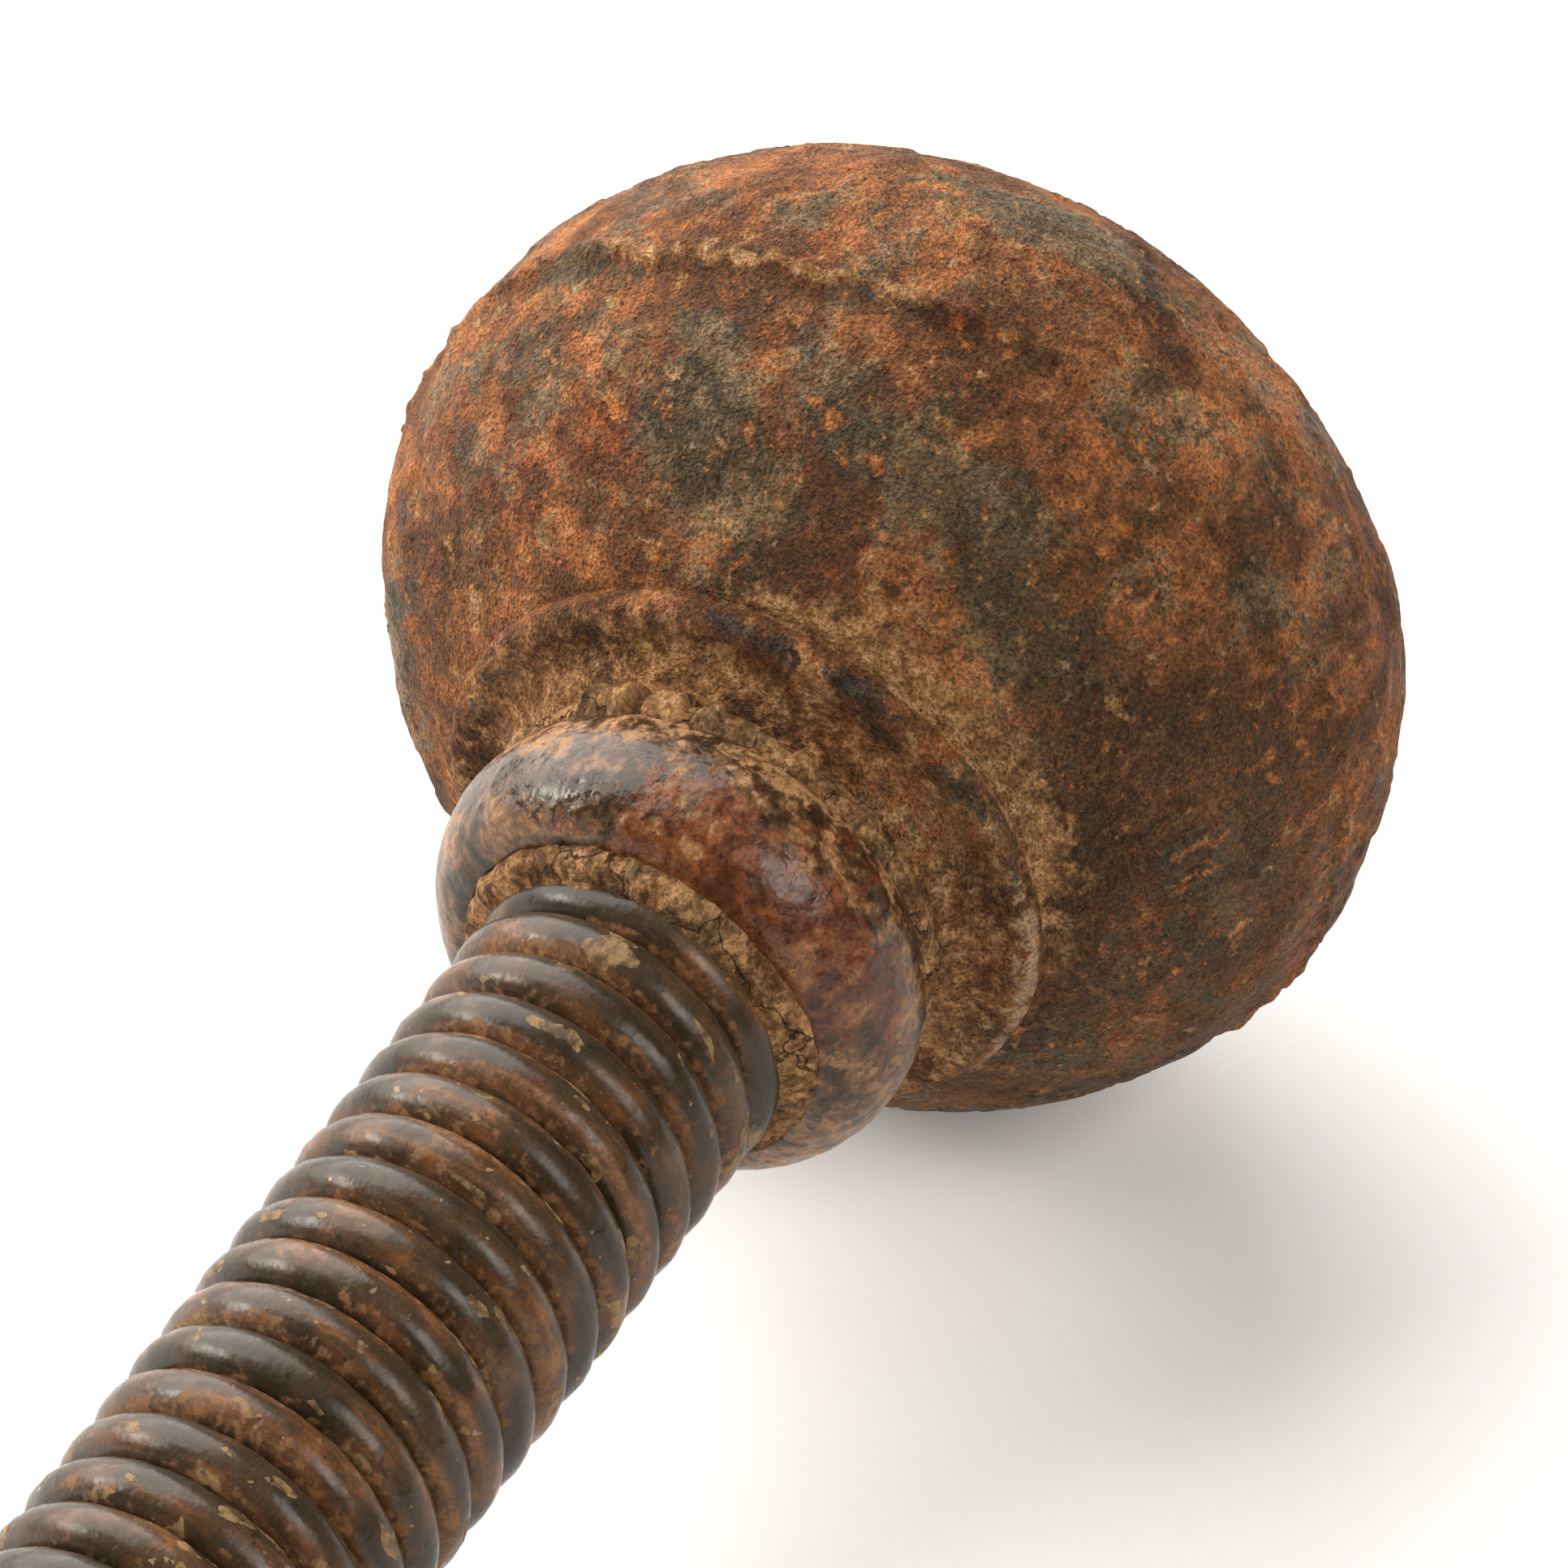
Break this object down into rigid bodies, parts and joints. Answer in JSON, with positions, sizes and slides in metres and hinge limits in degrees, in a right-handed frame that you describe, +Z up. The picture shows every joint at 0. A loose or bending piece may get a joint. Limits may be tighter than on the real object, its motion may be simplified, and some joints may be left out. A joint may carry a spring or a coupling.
{
  "type": "ball-headed spring club",
  "caption": "Rusty iron ball with a stepped neck on a flexible close-wound coil-spring shaft, fixed in a turned wooden grip.",
  "frame": {"origin": "middle of the underside of the whole object's box, on the surface it lies on", "axes": "+X along the shaft from the grip to the ball, +Z up; the ball's side and the grip's swelled end both rest on Z = 0, so the shaft rises a little towards the ball"},
  "size_m": [0.3338, 0.0624, 0.063],
  "materials": {
    "rusted_iron": "heavily pitted rust with dark scale patches",
    "painted_iron": "worn red-brown paint over blue-grey metal, semi-gloss",
    "spring_steel": "dark brown satin wire with rust in the grooves and paint flakes",
    "dry_putty": "dry, cracked, matt",
    "dull_steel": "dull",
    "dark_steel": "dark, worn at the edges",
    "oiled_wood": "old oil finish, handled"
  },
  "bodies": {
    "grip": {"wood_grip": "oiled_wood", "grip_ferrule": "dark_steel", "grip_packing": "dry_putty", "grip_rod": "dull_steel", "ferrule_pin_left": "dull_steel", "ferrule_pin_right": "dull_steel", "pommel_cap": "dark_steel", "pommel_washer": "dull_steel", "pommel_nut": "dull_steel", "coil_grip_end": "spring_steel"},
    "turns_01": {"coil_turns_01": "spring_steel"},
    "turns_02": {"coil_turns_02": "spring_steel"},
    "turns_03": {"coil_turns_03": "spring_steel"},
    "turns_04": {"coil_turns_04": "spring_steel"},
    "turns_05": {"coil_turns_05": "spring_steel"},
    "turns_06": {"coil_turns_06": "spring_steel"},
    "turns_07": {"coil_turns_07": "spring_steel"},
    "turns_08": {"coil_turns_08": "spring_steel"},
    "turns_09": {"coil_turns_09": "spring_steel"},
    "turns_10": {"coil_turns_10": "spring_steel"},
    "turns_11": {"coil_turns_11": "spring_steel"},
    "head": {"ball_head": "rusted_iron", "neck_ring": "painted_iron", "seat_packing": "dry_putty", "head_stud": "dull_steel", "coil_head_end": "spring_steel"}
  },
  "joints": [
    {"name": "bend_right_1", "type": "hinge", "parent": "grip", "child": "turns_01", "pos_m": [-0.02553, -0.00976, 0.02365], "axis": [0.0447, 0, -0.999], "range_deg": [0, 12], "stiffness_Nm_per_rad": 6.9},
    {"name": "bend_up_1", "type": "hinge", "parent": "turns_01", "child": "turns_02", "pos_m": [-0.01454, -0.00146, 0.03245], "axis": [0, -1, 0], "range_deg": [0, 12], "stiffness_Nm_per_rad": 6.9},
    {"name": "bend_left_1", "type": "hinge", "parent": "turns_02", "child": "turns_03", "pos_m": [-0.0028, 0.00684, 0.02466], "axis": [-0.0447, 0, 0.999], "range_deg": [0, 12], "stiffness_Nm_per_rad": 6.9},
    {"name": "bend_down_1", "type": "hinge", "parent": "turns_03", "child": "turns_04", "pos_m": [0.00893, -0.00146, 0.01688], "axis": [0, 1, 0], "range_deg": [0, 12], "stiffness_Nm_per_rad": 6.9},
    {"name": "bend_right_2", "type": "hinge", "parent": "turns_04", "child": "turns_05", "pos_m": [0.01992, -0.00976, 0.02568], "axis": [0.0447, 0, -0.999], "range_deg": [0, 12], "stiffness_Nm_per_rad": 6.9},
    {"name": "bend_up_2", "type": "hinge", "parent": "turns_05", "child": "turns_06", "pos_m": [0.03092, -0.00146, 0.03448], "axis": [0, -1, 0], "range_deg": [0, 12], "stiffness_Nm_per_rad": 6.9},
    {"name": "bend_left_2", "type": "hinge", "parent": "turns_06", "child": "turns_07", "pos_m": [0.04265, 0.00684, 0.0267], "axis": [-0.0447, 0, 0.999], "range_deg": [0, 12], "stiffness_Nm_per_rad": 6.9},
    {"name": "bend_down_2", "type": "hinge", "parent": "turns_07", "child": "turns_08", "pos_m": [0.05439, -0.00146, 0.01892], "axis": [0, 1, 0], "range_deg": [0, 12], "stiffness_Nm_per_rad": 6.9},
    {"name": "bend_right_3", "type": "hinge", "parent": "turns_08", "child": "turns_09", "pos_m": [0.06538, -0.00976, 0.02772], "axis": [0.0447, 0, -0.999], "range_deg": [0, 12], "stiffness_Nm_per_rad": 6.9},
    {"name": "bend_up_3", "type": "hinge", "parent": "turns_09", "child": "turns_10", "pos_m": [0.07637, -0.00146, 0.03652], "axis": [0, -1, 0], "range_deg": [0, 12], "stiffness_Nm_per_rad": 6.9},
    {"name": "bend_left_3", "type": "hinge", "parent": "turns_10", "child": "turns_11", "pos_m": [0.08811, 0.00684, 0.02874], "axis": [-0.0447, 0, 0.999], "range_deg": [0, 12], "stiffness_Nm_per_rad": 6.9},
    {"name": "bend_down_3", "type": "hinge", "parent": "turns_11", "child": "head", "pos_m": [0.09984, -0.00146, 0.02095], "axis": [0, 1, 0], "range_deg": [0, 12], "stiffness_Nm_per_rad": 6.9}
  ]
}
